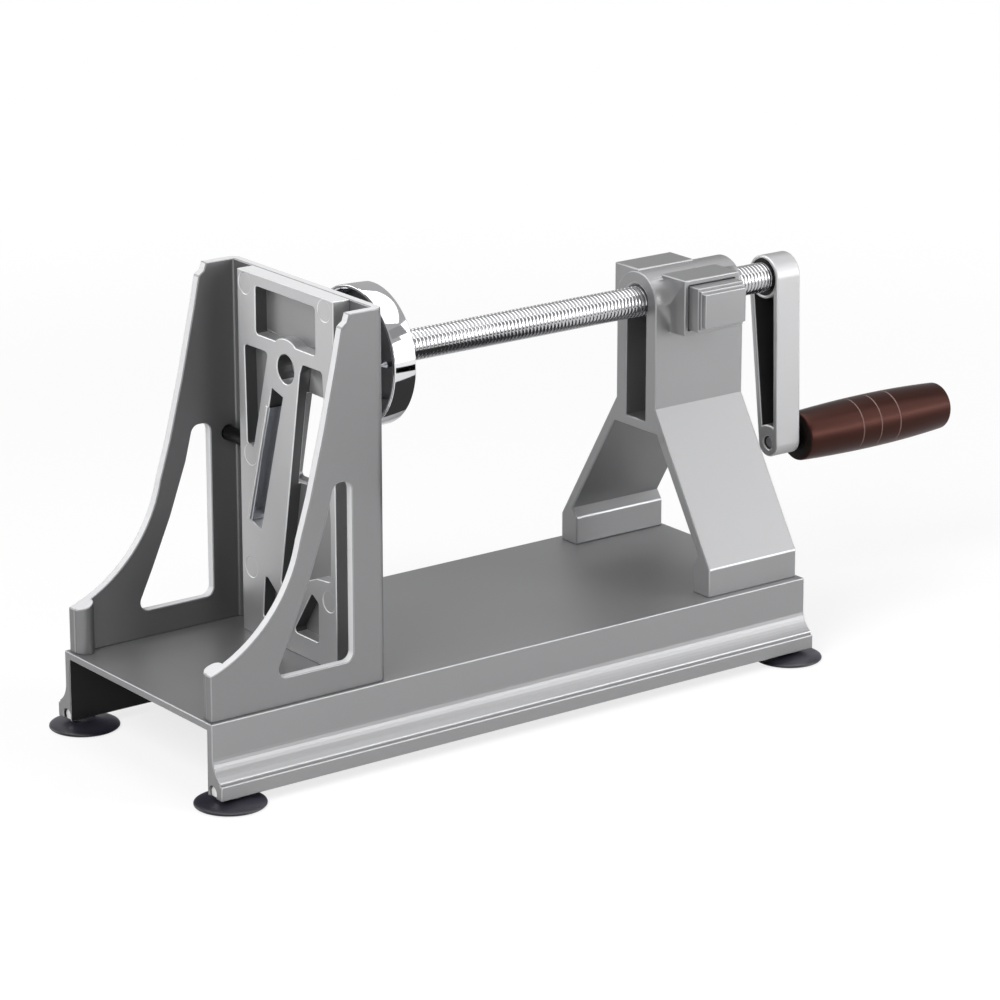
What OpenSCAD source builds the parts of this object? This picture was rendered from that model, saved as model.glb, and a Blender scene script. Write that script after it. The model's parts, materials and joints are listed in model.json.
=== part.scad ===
// Hand cranked spiral vegetable slicer on a base with suction cups.
// X runs from the blade end to the crank, Y across the base, Z up. Sizes are in millimetres.
// Pieces are drawn from the deck's top, the base's blade end and its centre plane.

/* [Base] */
// Length of the base channel
base_len = 323; // [310:1:350]
// Width of the deck
base_w = 117; // [115:0.5:124]
// Height from the bottom of the lips to the deck
base_h = 32; // [29:0.5:38]
// Thickness of the deck
deck_t = 3.3; // [2.4:0.1:3.6]
// Thickness of the side walls
side_t = 3.8; // [3.7:0.1:4]
// Height of the lip along each side
lip_h = 6.4; // [6:0.1:7.5]
// Reach of the lip beyond the side
lip_out = 6.8; // [6:0.1:8]
// Width of the lip's flat top outside the cove
lip_step = 1.3; // [0.8:0.1:2]
// Radius of the cove above the lip
cove_r = 10.6; // [9:0.1:12]
// Radius of the slot for bolts along each lip
slot_r = 3; // [2.9:0.05:3.1]
// Height of the slot's axis above the lip's bottom
slot_up = 2; // [1.8:0.1:2.2]

/* [Suction cups] */
// Radius of a cup's rim
cup_r = 15.6; // [14:0.1:17]
// Height of a cup
cup_h = 4.6; // [4.5:0.1:6.5]
// Distance of a cup's centre from the base's end
cup_edge = 8.8; // [8:0.1:20]
// Radius of a cup's neck
neck_r = 5; // [4:0.1:6]
// Radius of a cup's bolt
cup_bolt_r = 1.4; // [1.2:0.05:1.45]

/* [Front bracket] */
// Set back of the bracket from the base's end
bracket_set = 1.5; // [1:0.1:6]
// Length of the bracket along the base
bracket_len = 89.7; // [84:0.1:94]
// Width over both wings
bracket_w = 112.8; // [108:0.2:114]
// Height of the bracket
bracket_h = 164; // [156:1:176]
// Thickness of a wing
wing_t = 4.4; // [4:0.1:5.4]
// Thickness of the wall between the wings
wall_t = 4.2; // [3.6:0.1:5]
// Radius of the bracket's outer corners
corner_r = 4.8; // [1:0.1:5.2]
// Radius of the column in each wing's toe
toe_r = 4.2; // [3:0.1:5]

/* [Blade frame] */
// Thickness of the ribbed frame
frame_t = 8.4; // [6:0.1:10]
// Width of the ribbed frame
frame_w = 72.6; // [70:0.2:78]
// Radius of the hole for the core
core_r = 6.5; // [4:0.1:7]
// Radius of the boss round that hole
core_boss_r = 13.4; // [11:0.1:14]
// Width of the slanted slot for slices
slit_w = 8.7; // [7:0.1:9.5]
// Length of the slanted slot
slit_len = 66.4; // [60:0.2:70]
// Slant of that slot
slit_slant = 16; // [12:0.5:18]
// Thickness of the slicing blade
blade_t = 1.2; // [0.8:0.1:1.6]
// How far the cutting edge stands off the wall
blade_lift = 4; // [2:0.1:6]
// Radius of the black locking screw
lock_r = 3.3; // [3:0.1:3.8]

/* [Spindle and pusher] */
// Height of the spindle's axis above the deck
axis_h = 126.8; // [124:0.2:130]
// Radius of the spindle over its thread
spindle_r = 7; // [6.4:0.1:7.4]
// Running clearance round a turning piece
run_gap = 0.05; // [0.03:0.01:0.1]
// Radius of the pusher disc
disc_r = 31.4; // [26:0.1:34]
// Thickness of the pusher disc's rim
disc_t = 11.6; // [9:0.1:14]
// Gap between the bracket's wall and the pusher disc
food_gap = 22.2; // [18:0.1:30]
// Depth of the recess in the pusher's face
disc_recess = 8; // [5:0.1:8.5]
// Wall of the pusher's rim
disc_rim = 1.8; // [1.2:0.1:4]
// Radius of a gripping prong
prong_r = 1.5; // [1:0.1:2]

/* [Stand] */
// Distance from the base's blade end to the stand
stand_at = 269.8; // [262:0.2:271]
// Length of the stand along the base
stand_len = 51.2; // [46:0.2:52]
// Half width over the feet
foot_half = 54.5; // [52:0.5:56]
// Width of a foot
foot_w = 11.5; // [10:0.1:14]
// Height of a foot's upright faces
foot_h = 13; // [11:0.5:15]
// Radius of the head's arch, also half the width of the uprights
arch_r = 14; // [13:0.1:15]
// Height where the uprights meet the legs
hip_h = 79; // [74:0.5:84]
// Height of the crown of the opening between the legs
crown_h = 67.4; // [60:0.2:68]
// Half width of that opening's crown
crown_half = 15.4; // [12:0.1:16]
// Height of the bottom of the slot between the uprights
gap_floor = 72; // [71:0.2:78]

/* [Half nut and release button] */
// Distance from the stand's blade side to the button's boss
boss_at = 8.5; // [7:0.1:9]
// Length of the boss
boss_len = 31.7; // [31:0.1:33]
// Height of the boss
boss_h = 25.7; // [25:0.1:28]
// Drop of the boss's bottom below the spindle's axis
boss_drop = 12.8; // [12.4:0.1:13.5]
// How far the boss stands out from the centre plane
boss_out = 24.2; // [23:0.1:27]
// Wall round the boss's recess
boss_rim = 2.4; // [2:0.1:2.6]
// Length of the block behind the nut
block_len = 33.2; // [32.6:0.1:35]
// How far the block stands out from the centre plane
block_out = 17; // [16.6:0.1:19]
// Height of the block's top above the spindle's axis
block_up = 14.8; // [14:0.1:17]
// Length of the nut along the spindle
nut_len = 17.7; // [15:0.1:17.8]
// Height of the nut
nut_h = 17.8; // [17.2:0.1:18.4]
// Travel of the button
press = 2.5; // [2:0.1:3]
// How far the button's flange stands out of the boss
flange_out = 6.2; // [4:0.1:8]
// How far the button's pad stands out of its flange
pad_out = 3.6; // [2:0.1:5]

/* [Crank] */
// Gap between the stand and the crank
crank_gap = 23.4; // [18:0.1:26]
// Thickness of the crank arm
arm_t = 14.1; // [12.5:0.1:16]
// Radius of the crank's throw
throw = 78.8; // [72:0.1:86]
// Radius of the arm's end on the spindle
arm_top_r = 10.2; // [9.6:0.1:12]
// Radius of the arm's end at the handle
arm_end_r = 6.6; // [6.4:0.1:8]
// Wall round the arm's pocket
arm_wall = 2.8; // [2:0.1:3]
// Tilt of the arm as it stands
arm_tilt = 4.2; // [0:0.1:20]

/* [Handle] */
// Gap between the crank and the grip
grip_gap = 3.4; // [3.2:0.1:6]
// Length of the grip
grip_len = 89; // [80:0.1:100]
// Radius of the grip's end beside the crank
grip_near_r = 11.5; // [10.5:0.1:12]
// Largest radius of the grip
grip_r = 12.8; // [12.2:0.1:14]
// Radius of the grip's far end
grip_far_r = 11.1; // [9.5:0.1:12]
// Radius of the bolt that the grip turns on
pivot_r = 3; // [2.5:0.1:3.1]

/* [Hidden] */
$fn = 64;

// One overrun serves every cut.
over = 1;
// Clearance round a screw or a dowel in its hole
fit = 0.05;
// Clearance of a sliding piece in its guide
slide_gap = 0.3;

// Places along the spindle, from the base's blade end
wall_x = bracket_set + bracket_len;
frame_x = wall_x - wall_t - frame_t;
disc_x = wall_x + food_gap;
disc_web_x = disc_x + disc_recess;
disc_back_x = disc_x + disc_t;
stand_end_x = stand_at + stand_len;
arm_x = stand_end_x + crank_gap;
arm_back_x = arm_x + arm_t;
grip_x = arm_back_x + grip_gap;
grip_end_x = grip_x + grip_len;

// The origin is on the floor, midway along the whole length.
whole_mid_x = (cup_edge - cup_r + grip_end_x) / 2;
floor_up = base_h + cup_h;

// Base
half_w = base_w / 2;
cove_w = lip_out - lip_step;
lip_top = base_h - lip_h;
slot_in = 0.3;
slot_y = half_w - slot_in;
slot_z = slot_up - base_h;

// Suction cups: sections as shares of the rim's radius and the cup's height
slider_r = 2.7;
slider_len = 15;
slider_in = 1.3;
cup_top_shares = [[1, 0], [1, 0.13], [0.985, 0.2], [0.9, 0.3], [0.62, 0.48], [0.42, 0.66]];
cup_under_shares = [[0, 0.34], [0.3, 0.3], [0.62, 0.24], [0.86, 0.12], [0.95, 0]];
cup_neck_share = 0.78;
cup_hole_share = 0.5;
cup_bolt_share = 0.53;

// Front bracket: outline of a wing as shares of the bracket's length and height, with an overrun
wing_shares = [[-0.02, -0.02], [1.02, -0.02], [1.02, 1.02],
               [0.796, 1.02], [0.796, 0.9963], [0.7848, 0.9787], [0.7547, 0.9665],
               [0.7235, 0.8841], [0.6778, 0.772], [0.6455, 0.6963], [0.6098, 0.6201],
               [0.5674, 0.5317], [0.4983, 0.4104], [-0.02, 0.17]];
swoop_shares = [[0.5008, 0.4104], [0.3589, 0.2561], [0.0725, 0.1374]];
window_shares = [[0.7012, 0.5616], [0.8027, 0.5616], [0.8027, 0.0747], [0.3534, 0.0747],
                 [0.4537, 0.1902], [0.5608, 0.3232], [0.6566, 0.4665]];
window_round = 4;
inner_round = 1;
bracket_half = bracket_w / 2;
wing_in = bracket_half - wing_t;
toe_in = 0.3;
toe_shift = 0.8;
toe_x = bracket_set + toe_in + toe_r;
toe_y = wing_in - toe_shift;
bracket_screw_r = 1.25;
bracket_head_r = 1.95;
bracket_head_h = 1.6;
bracket_screw_depth = 9;
rear_screw_in = 8;
bracket_screw_at = [[toe_x, toe_y], [wall_x - wall_t / 2, wing_in - rear_screw_in]];

// Blade frame: its cut-outs as shares of its half width and height
frame_half = frame_w / 2;
top_pocket_shares = [[0.625, 0.84], [-0.625, 0.84], [-0.625, 0.969], [0.625, 0.969]];
side_pocket_shares = [[0.87, 0.8], [0.375, 0.8], [0.705, 0.528], [0.843, 0.528]];
tall_shares = [[-0.347, 0.802], [-0.755, 0.802], [-0.9, 0.4], [-0.887, 0.2415], [-0.598, 0.2354],
               [0.176, 0.168], [0.033, 0.347], [-0.29, 0.774]];
foot_pocket_shares = [[0.507, 0.186], [0.562, 0.0585], [0.055, 0.0585], [0.11, 0.118]];
heel_pocket_shares = [[-0.48, 0.188], [-0.622, 0.168], [-0.622, 0.059], [-0.083, 0.059]];
tall_window_shares = [[-0.07, 0.716], [-0.7, 0.716], [-0.79, 0.4634], [0.187, 0.4634]];
mark_shares = [[0.843, 0.966], [-0.815, 0.968], [0.777, 0.501], [0.802, 0.186], [-0.848, 0.186]];
screwed_marks = [0, 1, 3, 4];
pocket_round = 1.6;
pocket_depth = 6;
mark_r = 4.6;
mark_depth = 0.3;
frame_screw_r = 1.5;
frame_head_r = 2.6;
frame_head_h = 1.1;
frame_screw_depth = 5;

// Slanted slot, and the steel blade that lines its far side
slit_y_share = 0.4366;
slit_z_share = 0.6545;
slit_y = frame_half * slit_y_share;
slit_z = axis_h * slit_z_share;
blade_top_share = 0.72;
blade_end_gap = 0.4;
blade_flange = 9;
blade_tip_t = 0.2;
blade_tip_in = 1;
lip_rise = 0.8;
lip_w = 1.6;
blade_screw_r = 1.4;
blade_head_r = 2.7;
blade_head_h = 1.4;
blade_screw_depth = 7;
blade_screw_shares = [-0.6, 0.54];

// Locking screw through the far wing
lock_z_share = 0.523;
lock_z = bracket_h * lock_z_share;
lock_x = frame_x + frame_t / 2;
lock_tip_r = 2.6;
lock_tip_h = 1.2;
lock_socket_r = 2;
lock_socket_h = 3;

// Spindle and pusher
hub_r = 5;
tap_r = 2.5;
tap_depth = 12;
disc_web = disc_t - disc_recess;
disc_head_r = 6.2;
disc_head_h = 2.2;
disc_screw_depth = 10;
prong_count = 6;
prong_ring_share = 0.62;
prong_short = 0.8;
prong_tip_h = 3;
prong_tip_r = 0.3;
disc_edge = 0.6;

// Stand
foot_slope = 3.3;
foot_rise = 4.3;
gap_half = spindle_r + run_gap;
mouth_r = 8.6;
mouth_depth = 1.5;
stand_screw_r = 2;
stand_head_r = 3.5;
stand_head_h = 2.2;
stand_screw_depth = 10;
stand_screw_share = 0.2;

// Head of the stand, with the window that the nut slides in
boss_z = axis_h - boss_drop;
boss_x = stand_at + boss_at;
recess_depth = 8.2;
recess_floor = boss_out - recess_depth;
recess_x = boss_x + boss_rim;
recess_len = boss_len - boss_rim - boss_rim;
recess_z = boss_z + boss_rim;
recess_h = boss_h - boss_rim - boss_rim;
press_rest = 0.5;
button_back = recess_floor + press + press_rest;
nut_in = 1.3;
nut_x = recess_x + nut_in;
nut_web = 3.35;
nut_back = gap_half + nut_web;
block_wall = 1.6;
block_set = 1;
block_h = 26.6;
block_z = axis_h + block_up - block_h;
block_round = 1;

// Button: insets of its step and its pad, and the share of the pad's height that the step takes
step_in = [0.7, 1.2];
pad_in = [1.4, 2.3];
step_share = 0.4;
pin_r = 1.2;
pin_half = 4;
pin_spread_share = 0.3;

// Crank
arm_floor = 3;
arm_cup_depth = 1.3;
arm_cup_r = 8.6;
washer_t = 1.1;
arm_seat = 9;
end_boss_r = 8.6;
crank_screw_r = 2.45;
crank_head_r = 5;
crank_head_h = 2.6;
crank_screw_depth = 9;
end_cup_r = 3.1;
end_cup_depth = 3;

// Handle
stud_r = 2.5;
stud_in = 1.2;
nut_corner_r = 5;
handle_nut_t = 2.4;
handle_washer_r = 6.2;
end_play = 0.2;
grip_cup_r = 6;
grip_cup_depth = 6;
bolt_head_r = 5.4;
bolt_head_h = 2.4;
grip_crown_share = 0.5;
grip_end_round = 2.2;
grip_edge = 0.8;
grip_steps = 7;
groove_shares = [0.355, 0.48, 0.614];
groove_w = 0.6;
groove_depth = 0.25;

// Moves from the drawing places to the finished frame.
module at_home() translate([-whole_mid_x, 0, floor_up]) children();

// Extrudes an outline drawn in Y and Z along X.
module extrude_x(from, long) translate([from, 0, 0]) rotate([90, 0, 90]) linear_extrude(long) children();

// Extrudes an outline drawn in X and Z along Y.
module extrude_y(from, long)
    translate([0, from + long, 0]) rotate([90, 0, 0]) linear_extrude(long) children();

// Round bar along X on a line at y and z
module bar_x(from, long, r, y = 0, z = axis_h)
    translate([from, y, z]) rotate([0, 90, 0]) cylinder(h = long, r = r);

// Tapered bar along X
module cone_x(from, long, r1, r2, y = 0, z = axis_h)
    translate([from, y, z]) rotate([0, 90, 0]) cylinder(h = long, r1 = r1, r2 = r2);

// Round bar along Y
module bar_y(from, long, r, x, z)
    translate([x, from, z]) rotate([-90, 0, 0]) cylinder(h = long, r = r);

// Outline from shares of a width and a height, with its corners rounded
module share_outline(shares, w, h, r = 0) {
    points = [for (p = shares) [p[0] * w, p[1] * h]];
    if (r > 0) offset(r = r, $fn = 24) offset(delta = -r) polygon(points);
    else polygon(points);
}

// Centre of the circle through three points
function arc_centre(a, b, c) =
    let (d = 2 * (a[0] * (b[1] - c[1]) + b[0] * (c[1] - a[1]) + c[0] * (a[1] - b[1])))
    [((a * a) * (b[1] - c[1]) + (b * b) * (c[1] - a[1]) + (c * c) * (a[1] - b[1])) / d,
     ((a * a) * (c[0] - b[0]) + (b * b) * (a[0] - c[0]) + (c * c) * (b[0] - a[0])) / d];

// Strip along X from x0 to x1, with the corners at x1 rounded
module end_rounded(x0, x1, half, r) {
    translate([x0, -half]) square([x1 - x0 - r, 2 * half]);
    translate([x0, r - half]) square([x1 - x0, 2 * (half - r)]);
    for (side = [-1, 1]) translate([x1 - r, side * (half - r)]) circle(r = r);
}

// Outline round two unlike circles, hanging from the origin
module tapered_link(r1, r2, long) {
    hull() {
        circle(r = r1, $fn = 96);
        translate([0, -long]) circle(r = r2, $fn = 96);
    }
}

// Screw that stands on its head, with the head under the origin
module upright_screw(r, long, head_r, head_h) {
    cylinder(h = long, r = r);
    translate([0, 0, -head_h]) cylinder(h = head_h, r = head_r);
}

module base_section() {
    for (side = [0, 1]) mirror([side, 0]) difference() {
        union() {
            translate([0, -deck_t]) square([half_w, deck_t]);
            translate([half_w - side_t, -base_h]) square([side_t, base_h]);
            translate([half_w - side_t, -base_h]) square([side_t + lip_out, lip_h]);
            difference() {
                translate([half_w, -lip_top]) square([cove_w, cove_r]);
                translate([half_w + cove_r, cove_r - lip_top]) circle(r = cove_r);
            }
        }
        translate([slot_y, slot_z]) circle(r = slot_r);
        translate([slot_y - slot_r / 2, -base_h - over]) square([slot_r, slot_up + over]);
    }
}

// Places of the screws that hold the bracket and the stand to the deck
module at_bracket_screws()
    for (at = bracket_screw_at, side = [-1, 1]) translate([at[0], side * at[1], -deck_t]) children();

module at_stand_screws()
    for (end = [stand_screw_share, 1 - stand_screw_share], side = [-1, 1])
        translate([stand_at + stand_len * end, side * (foot_half - foot_w / 2), -deck_t]) children();

module base_channel() {
    color("#b4b6ba") at_home() difference() {
        extrude_x(0, base_len) base_section();
        at_bracket_screws() translate([0, 0, -over])
            cylinder(h = deck_t + 2 * over, r = bracket_screw_r + fit);
        at_stand_screws() translate([0, 0, -over])
            cylinder(h = deck_t + 2 * over, r = stand_screw_r + fit);
    }
}

module cup(x, side) {
    color("#1c1b20") at_home() translate([x, side * slot_y, -floor_up]) rotate_extrude()
        polygon(concat(
            [for (p = cup_top_shares) [p[0] * cup_r, p[1] * cup_h]],
            [[neck_r, cup_neck_share * cup_h], [neck_r, cup_h], [cup_bolt_r + fit, cup_h],
             [cup_bolt_r + fit, cup_hole_share * cup_h], [0, cup_hole_share * cup_h]],
            [for (p = cup_under_shares) [p[0] * cup_r, p[1] * cup_h]]));
}

// Bolts that hang from round sliders in the lips' slots, with the sliders' undersides flat
module cup_bolts() {
    color("#d8d8dc") at_home() for (end = [0, 1], side = [-1, 1])
        translate([end * base_len, side * slot_y, 0]) mirror([end, 0, 0]) {
            difference() {
                bar_x(slider_in, slider_len, slider_r, 0, slot_z);
                translate([slider_in - over, -slider_r, -base_h - over])
                    cube([slider_len + 2 * over, 2 * slider_r, over + fit]);
            }
            translate([cup_edge, 0, cup_bolt_share * cup_h - floor_up])
                cylinder(h = floor_up - cup_bolt_share * cup_h + slot_z, r = cup_bolt_r);
        }
}

module wing_side() {
    swoop = [for (p = swoop_shares) [p[0] * bracket_len, p[1] * bracket_h]];
    centre = arc_centre(swoop[0], swoop[1], swoop[2]);
    difference() {
        share_outline(wing_shares, bracket_len, bracket_h);
        translate(centre) circle(r = norm(swoop[0] - centre), $fn = 180);
    }
}

// Window through the wall and the floor of the frame's tall pocket
module tall_window(from, long)
    extrude_x(from, long) share_outline(tall_window_shares, frame_half, bracket_h, pocket_round);

module at_slit() translate([0, slit_y, slit_z]) rotate([slit_slant, 0, 0]) children();

module slit_cut(from, long)
    at_slit() translate([from, -slit_w / 2, -slit_len / 2]) cube([long, slit_w, slit_len]);

module at_frame_screws()
    for (i = screwed_marks)
        translate([wall_x, mark_shares[i][0] * frame_half, mark_shares[i][1] * bracket_h])
            rotate([0, -90, 0]) children();

module at_blade_screws()
    for (share = blade_screw_shares)
        at_slit() translate([wall_x + blade_t, (slit_w + blade_flange) / 2, share * slit_len / 2])
            rotate([0, -90, 0]) children();

module front_bracket() {
    color("#8e9094") at_home() difference() {
        intersection() {
            linear_extrude(bracket_h) {
                difference() {
                    end_rounded(bracket_set, wall_x, bracket_half, corner_r);
                    end_rounded(bracket_set - over, wall_x - wall_t, wing_in, inner_round);
                }
                for (side = [-1, 1]) translate([toe_x, side * toe_y]) circle(r = toe_r);
            }
            translate([bracket_set, 0, 0]) extrude_y(-half_w, base_w) wing_side();
        }
        translate([bracket_set, 0, 0]) extrude_y(-half_w, base_w)
            share_outline(window_shares, bracket_len, bracket_h, window_round);
        tall_window(wall_x - wall_t - over, wall_t + 2 * over);
        slit_cut(wall_x - wall_t - over, wall_t + 2 * over);
        bar_x(wall_x - wall_t - over, wall_t + 2 * over, core_r);
        bar_y(0, half_w, lock_r + fit, lock_x, lock_z);
        at_bracket_screws() cylinder(h = bracket_screw_depth + fit, r = bracket_screw_r + fit);
        at_frame_screws() {
            translate([0, 0, -over]) cylinder(h = wall_t + 2 * over, r = frame_screw_r + fit);
            cylinder(h = frame_head_h, r1 = frame_head_r + fit, r2 = frame_screw_r + fit);
        }
        at_blade_screws() cylinder(h = blade_t + wall_t + over, r = blade_screw_r + fit);
    }
}

module bracket_screws() {
    color("#c9cacd") at_home() at_bracket_screws()
        upright_screw(bracket_screw_r, bracket_screw_depth, bracket_head_r, bracket_head_h);
}

// The most skilful piece: the removable cast frame, with its ribs between open and blind cut-outs
module blade_frame() {
    color("#b3b4b8") at_home() difference() {
        union() {
            translate([frame_x, -frame_half, 0]) cube([frame_t, frame_w, bracket_h]);
            at_slit() translate([frame_x - lip_rise, slit_w / 2, -slit_len / 2])
                cube([lip_rise + over, lip_w, slit_len * (1 + blade_top_share) / 2]);
        }
        extrude_x(frame_x - over, over + pocket_depth) {
            difference() {
                share_outline(top_pocket_shares, frame_half, bracket_h, pocket_round);
                translate([0, axis_h]) circle(r = core_boss_r);
            }
            share_outline(side_pocket_shares, frame_half, bracket_h, pocket_round);
            share_outline(foot_pocket_shares, frame_half, bracket_h, pocket_round);
            share_outline(heel_pocket_shares, frame_half, bracket_h, pocket_round);
            share_outline(tall_shares, frame_half, bracket_h, pocket_round);
        }
        tall_window(frame_x + pocket_depth - over, frame_t - pocket_depth + 2 * over);
        slit_cut(frame_x - lip_rise - over, lip_rise + frame_t + 2 * over);
        bar_x(frame_x - over, frame_t + 2 * over, core_r);
        for (p = mark_shares)
            bar_x(frame_x - over, over + mark_depth, mark_r, p[0] * frame_half, p[1] * bracket_h);
        at_frame_screws() cylinder(h = wall_t + frame_screw_depth + fit, r = frame_screw_r + fit);
        at_blade_screws() cylinder(h = blade_t + blade_screw_depth + fit, r = blade_screw_r + fit);
    }
}

module frame_screws() {
    color("#c9cacd") at_home() at_frame_screws() {
        cylinder(h = wall_t + frame_screw_depth, r = frame_screw_r);
        cylinder(h = frame_head_h, r1 = frame_head_r, r2 = frame_screw_r);
    }
}

module slicing_blade() {
    side = slit_w / 2 - fit;
    inner = side - blade_t;
    rim = slit_w / 2 + blade_flange;
    tip = blade_tip_in - slit_w / 2;
    low = blade_end_gap - slit_len / 2;
    color("#d5d7db") at_home() difference() {
        at_slit() translate([0, 0, low]) linear_extrude(slit_len * blade_top_share / 2 - low)
            polygon([[frame_x, inner], [frame_x, side], [wall_x, side], [wall_x, rim],
                     [wall_x + blade_t, rim], [wall_x + blade_t, side], [wall_x + blade_lift, tip],
                     [wall_x + blade_lift - blade_tip_t, tip], [wall_x, inner]]);
        at_blade_screws() translate([0, 0, -over]) cylinder(h = blade_t + 2 * over, r = blade_screw_r + fit);
    }
}

module blade_screws() {
    color("#c9cacd") at_home() at_blade_screws() {
        cylinder(h = blade_t + blade_screw_depth, r = blade_screw_r);
        translate([0, 0, -blade_head_h]) cylinder(h = blade_head_h, r = blade_head_r);
    }
}

module blade_lock_screw() {
    long = bracket_half - frame_half - lock_tip_h;
    color("#26262a") at_home() difference() {
        union() {
            bar_y(frame_half + lock_tip_h, long, lock_r, lock_x, lock_z);
            bar_y(frame_half, lock_tip_h, lock_tip_r, lock_x, lock_z);
        }
        translate([lock_x, bracket_half - lock_socket_h, lock_z]) rotate([-90, 0, 0])
            cylinder(h = lock_socket_h + over, r = lock_socket_r, $fn = 6);
    }
}

module stand_section() {
    difference() {
        union() {
            polygon([[-foot_half, 0], [-foot_half, foot_h], [-arch_r, hip_h], [-arch_r, axis_h],
                     [arch_r, axis_h], [arch_r, hip_h], [foot_half, foot_h], [foot_half, 0]]);
            translate([0, axis_h]) circle(r = arch_r);
        }
        polygon([[foot_w - foot_half, -over], [foot_w - foot_half, foot_h],
                 [foot_w - foot_half - foot_slope, foot_h + foot_rise], [-crown_half, crown_h],
                 [crown_half, crown_h], [foot_half - foot_w + foot_slope, foot_h + foot_rise],
                 [foot_half - foot_w, foot_h], [foot_half - foot_w, -over]]);
        translate([-gap_half, gap_floor]) square([2 * gap_half, axis_h - gap_floor]);
        translate([0, axis_h]) circle(r = gap_half);
    }
}

// The stand is one casting: legs, arched head, boss for the button and block behind the nut.
module stand() {
    color("#9b9da1") at_home() difference() {
        union() {
            extrude_x(stand_at, stand_len) stand_section();
            translate([boss_x, -boss_out, boss_z]) cube([boss_len, boss_out - gap_half, boss_h]);
            extrude_x(stand_at + block_set, block_len - block_set) difference() {
                translate([0, block_z]) square([block_out, block_h]);
                translate([0, axis_h]) circle(r = gap_half);
                translate([0, block_z - over]) square([gap_half, axis_h - block_z + over]);
            }
        }
        translate([recess_x, -boss_out - over, recess_z])
            cube([recess_len, recess_depth + over, recess_h]);
        translate([nut_x - slide_gap, -recess_floor - over, axis_h - nut_h / 2 - slide_gap])
            cube([nut_len + 2 * slide_gap, recess_floor + over + block_out - block_wall,
                  nut_h + 2 * slide_gap]);
        bar_x(stand_at - over, stand_len + 2 * over, gap_half);
        cone_x(stand_at - run_gap, mouth_depth, mouth_r, gap_half);
        at_stand_screws() cylinder(h = stand_screw_depth + deck_t + fit, r = stand_screw_r + fit);
    }
}

module stand_screws() {
    color("#c9cacd") at_home() at_stand_screws()
        upright_screw(stand_screw_r, stand_screw_depth + deck_t, stand_head_r, stand_head_h);
}

module button_layer(inset, from, to)
    translate([recess_x + slide_gap + inset[0], -to, recess_z + slide_gap + inset[1]])
        cube([recess_len - 2 * (slide_gap + inset[0]), to - from, recess_h - 2 * (slide_gap + inset[1])]);

module pin_holes(r, half)
    for (end = [-1, 1])
        bar_y(-button_back - half, 2 * half, r, nut_x + nut_len * (0.5 + end * pin_spread_share), axis_h);

module release_button() {
    flange = boss_out + flange_out;
    step = flange + pad_out * step_share;
    color("#8f9195") at_home() difference() {
        union() {
            button_layer([0, 0], button_back, flange);
            button_layer(step_in, flange, step);
            button_layer(pad_in, step, flange + pad_out);
        }
        pin_holes(pin_r + fit, pin_half + fit);
    }
}

module half_nut() {
    color("#a9a294") at_home() difference() {
        translate([nut_x, -button_back, axis_h - nut_h / 2])
            cube([nut_len, button_back + nut_back, nut_h]);
        extrude_x(nut_x - over, nut_len + 2 * over) translate([0, axis_h]) {
            circle(r = gap_half);
            translate([-press - press_rest, 0]) circle(r = gap_half);
            translate([-press - press_rest, -gap_half]) square([press + press_rest, 2 * gap_half]);
        }
        pin_holes(pin_r + fit, pin_half + fit);
    }
}

module button_pins() {
    color("#c9cacd") at_home() pin_holes(pin_r, pin_half);
}

module spindle() {
    color("#dcdde0") at_home() difference() {
        union() {
            bar_x(disc_back_x, arm_x + arm_seat - disc_back_x, spindle_r);
            bar_x(disc_web_x, disc_back_x - disc_web_x, hub_r);
        }
        bar_x(disc_web_x - over, tap_depth + over, tap_r);
        bar_x(arm_x + arm_seat - tap_depth, tap_depth + over, tap_r);
    }
}

module pusher_disc() {
    color("#e4e5e8") at_home() difference() {
        union() {
            cone_x(disc_x, disc_edge, disc_r - disc_edge, disc_r);
            bar_x(disc_x + disc_edge, disc_t - 2 * disc_edge, disc_r);
            cone_x(disc_back_x - disc_edge, disc_edge, disc_r, disc_r - disc_edge);
        }
        bar_x(disc_x - over, disc_recess + over, disc_r - disc_rim);
        bar_x(disc_x, disc_t + over, hub_r + fit);
    }
}

module pusher_prongs() {
    ring = disc_r * prong_ring_share;
    front = disc_x + prong_short;
    color("#c9cacd") at_home() for (i = [0 : prong_count - 1]) {
        turn = 360 * i / prong_count;
        bar_x(front + prong_tip_h, disc_web_x - front - prong_tip_h, prong_r,
              ring * cos(turn), axis_h + ring * sin(turn));
        cone_x(front, prong_tip_h, prong_tip_r, prong_r, ring * cos(turn), axis_h + ring * sin(turn));
    }
}

module disc_screw() {
    color("#c9cacd") at_home() {
        bar_x(disc_web_x - disc_head_h, disc_head_h, disc_head_r);
        bar_x(disc_web_x, disc_screw_depth, tap_r - fit);
    }
}

// Loose ring in the cup of the crank's end: it travels with the spindle and need not turn.
module crank_washer() {
    color("#3a3b3f") at_home() difference() {
        bar_x(arm_x + (arm_cup_depth - washer_t) / 2, washer_t, arm_cup_r - run_gap);
        bar_x(arm_x - over, arm_cup_depth + 2 * over, spindle_r + run_gap);
    }
}

module at_arm() translate([0, 0, axis_h]) rotate([-arm_tilt, 0, 0]) children();

module arm_pocket() {
    difference() {
        tapered_link(arm_top_r - arm_wall, arm_end_r - arm_wall, throw);
        circle(r = arm_top_r);
        translate([0, -throw]) circle(r = end_boss_r);
    }
}

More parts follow.
